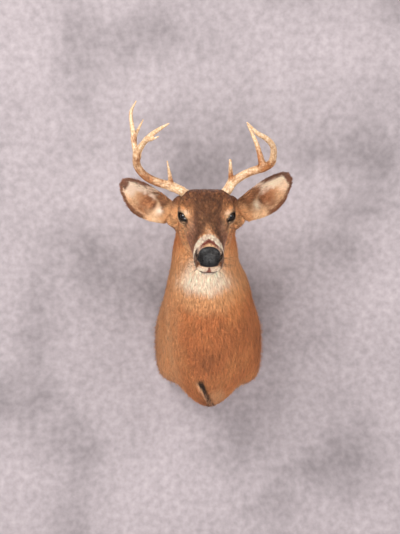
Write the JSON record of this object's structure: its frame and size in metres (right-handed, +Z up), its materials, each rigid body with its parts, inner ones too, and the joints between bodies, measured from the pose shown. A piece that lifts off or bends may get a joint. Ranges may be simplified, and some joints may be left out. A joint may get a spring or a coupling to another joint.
{
  "type": "whitetail buck shoulder mount",
  "caption": "Life-size deer head and shoulders with branching antlers and cupped ears, on a flat wooden backboard that hangs on a wall.",
  "frame": {"origin": "middle of the backboard's rear face, on the wall", "axes": "+Z up, +Y into the wall, so the deer faces -Y; its right side is -X"},
  "size_m": [0.4242, 0.5413, 0.7696],
  "materials": {
    "hide": "short dense deer hair",
    "nose": "moist pebbled skin",
    "eye": "dark glass eye",
    "antler": "weathered antler, paler at the tips",
    "plywood": "sanded plywood",
    "steel": "zinc plated"
  },
  "bodies": {
    "root": {"shoulders": "hide", "neck": "hide", "head": "hide", "lower_jaw": "hide", "nose": "nose", "ear_right": "hide", "ear_left": "hide", "eye_right": "eye", "eye_left": "eye", "antler_right_beam": "antler", "antler_right_beam_tip": "antler", "antler_right_brow_tine": "antler", "antler_right_back_tine": "antler", "antler_right_tine_fork": "antler", "antler_right_spur": "antler", "antler_left_beam": "antler", "antler_left_beam_tip": "antler", "antler_left_brow_tine": "antler", "antler_left_back_tine": "antler", "backboard": "plywood", "hanger": "steel"}
  },
  "joints": []
}
